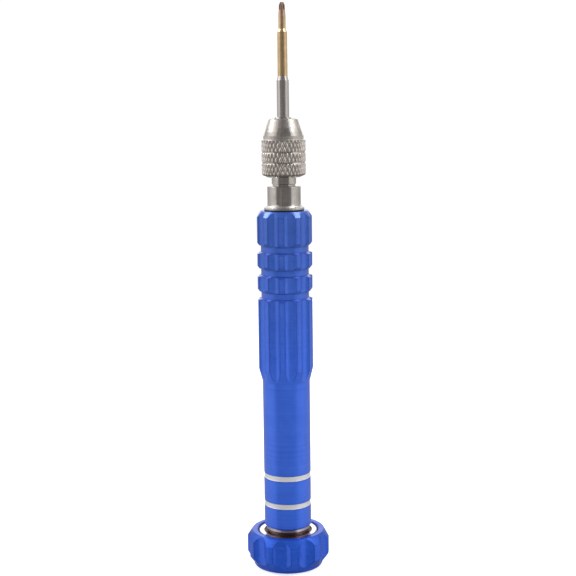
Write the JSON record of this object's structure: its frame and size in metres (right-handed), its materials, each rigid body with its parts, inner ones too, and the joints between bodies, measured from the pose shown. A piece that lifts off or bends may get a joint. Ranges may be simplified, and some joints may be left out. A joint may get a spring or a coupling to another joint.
{
  "type": "watchmaker screwdriver",
  "caption": "Slim precision screwdriver: cross-point blade in a knurled collet chuck, fluted hollow handle that stores spare blades, and a scalloped palm cap that spins on a bearing.",
  "frame": {"origin": "centre of the palm cap's flat end, which the tool stands on", "axes": "+Z along the screwdriver's axis from the palm cap to the blade's tip; +X and +Y are square to it, +Y points away from the side with the first grip flute"},
  "size_m": [0.0216, 0.0216, 0.146],
  "materials": {
    "anodised_blue": "blue anodised aluminium, satin, with two bright-cut bands",
    "anodised_blue_cap": "blue anodised aluminium, satin",
    "chuck_nickel": "nickel plated steel, turned",
    "nut_nickel": "nickel plated steel, diamond knurl",
    "collet_steel": "hardened spring steel, ground",
    "blade_gold": "tool steel, bare shank, gold coated shaft, dark ground tip",
    "spare_blade_gold": "tool steel, bare shank, gold coated shaft, dark ground tip",
    "magnet_nickel": "nickel plated magnet",
    "black_rubber": "black nitrile rubber",
    "seal_rubber": "dark red-brown bearing seal",
    "bearing_steel": "ground and polished bearing steel",
    "ball_steel": "polished bearing steel",
    "cage_brass": "pressed brass",
    "axle_black": "black oxide steel, polished",
    "screw_black": "black oxide steel",
    "washer_steel": "zinc plated steel",
    "rack_nylon": "black moulded nylon"
  },
  "bodies": {
    "handle": {"handle_barrel": "anodised_blue", "collar_washer": "black_rubber", "chuck_body": "chuck_nickel", "bit_magnet": "magnet_nickel"},
    "collet": {"collet": "collet_steel"},
    "chuck_nut": {"chuck_nut": "nut_nickel"},
    "fitted_blade": {"cross_bit": "blade_gold"},
    "blade_store": {"bit_rack": "rack_nylon"},
    "tail": {"tail_plug": "axle_black", "tail_o_ring": "black_rubber", "bearing_inner_ring": "bearing_steel", "retaining_washer": "washer_steel", "retaining_screw": "screw_black"},
    "ball_set": {"bearing_balls": "ball_steel", "bearing_cage": "cage_brass"},
    "cap": {"palm_cap": "anodised_blue_cap", "bearing_outer_ring": "bearing_steel", "bearing_top_seal": "seal_rubber", "bearing_bottom_seal": "seal_rubber"},
    "spare_bit_flat_fine": {"spare_bit_flat_fine": "spare_blade_gold"},
    "spare_bit_flat_wide": {"spare_bit_flat_wide": "spare_blade_gold"},
    "spare_bit_cross": {"spare_bit_cross": "spare_blade_gold"},
    "spare_bit_hexalobe": {"spare_bit_hexalobe": "spare_blade_gold"}
  },
  "joints": [
    {"name": "collet_lift", "type": "slide", "parent": "handle", "child": "collet", "axis": [0, 0, 1], "range_m": [0, 0.00101]},
    {"name": "nut_turn", "type": "hinge", "parent": "collet", "child": "chuck_nut", "pos_m": [0, 0, 0.1075], "axis": [0, 0, 1], "range_deg": [0, 720]},
    {"name": "blade_pull", "type": "slide", "parent": "handle", "child": "fitted_blade", "axis": [0, 0, 1], "range_m": [0, 0.02]},
    {"name": "handle_turn", "type": "hinge", "parent": "tail", "child": "blade_store", "pos_m": [0, 0, 0.016], "axis": [0, 0, 1], "range_deg": [0, 4320]},
    {"name": "handle_lift", "type": "slide", "parent": "blade_store", "child": "handle", "axis": [0, 0, 1], "range_m": [0, 0.062]},
    {"name": "cap_spin", "type": "hinge", "parent": "tail", "child": "cap", "pos_m": [0, 0, 0.0067], "axis": [0, 0, 1], "continuous": true},
    {"name": "ball_orbit", "type": "hinge", "parent": "tail", "child": "ball_set", "pos_m": [0, 0, 0.0067], "axis": [0, 0, 1], "continuous": true},
    {"name": "spare_flat_fine_pull", "type": "slide", "parent": "blade_store", "child": "spare_bit_flat_fine", "axis": [0, 0, 1], "range_m": [0, 0.012]},
    {"name": "spare_flat_wide_pull", "type": "slide", "parent": "blade_store", "child": "spare_bit_flat_wide", "axis": [0, 0, 1], "range_m": [0, 0.012]},
    {"name": "spare_cross_pull", "type": "slide", "parent": "blade_store", "child": "spare_bit_cross", "axis": [0, 0, 1], "range_m": [0, 0.012]},
    {"name": "spare_hexalobe_pull", "type": "slide", "parent": "blade_store", "child": "spare_bit_hexalobe", "axis": [0, 0, 1], "range_m": [0, 0.012]}
  ],
  "couplings": [
    {"joint": "collet_lift", "follows": "nut_turn", "m_per_rad": 0.000079577},
    {"joint": "ball_orbit", "follows": "cap_spin", "ratio": 0.5807}
  ]
}
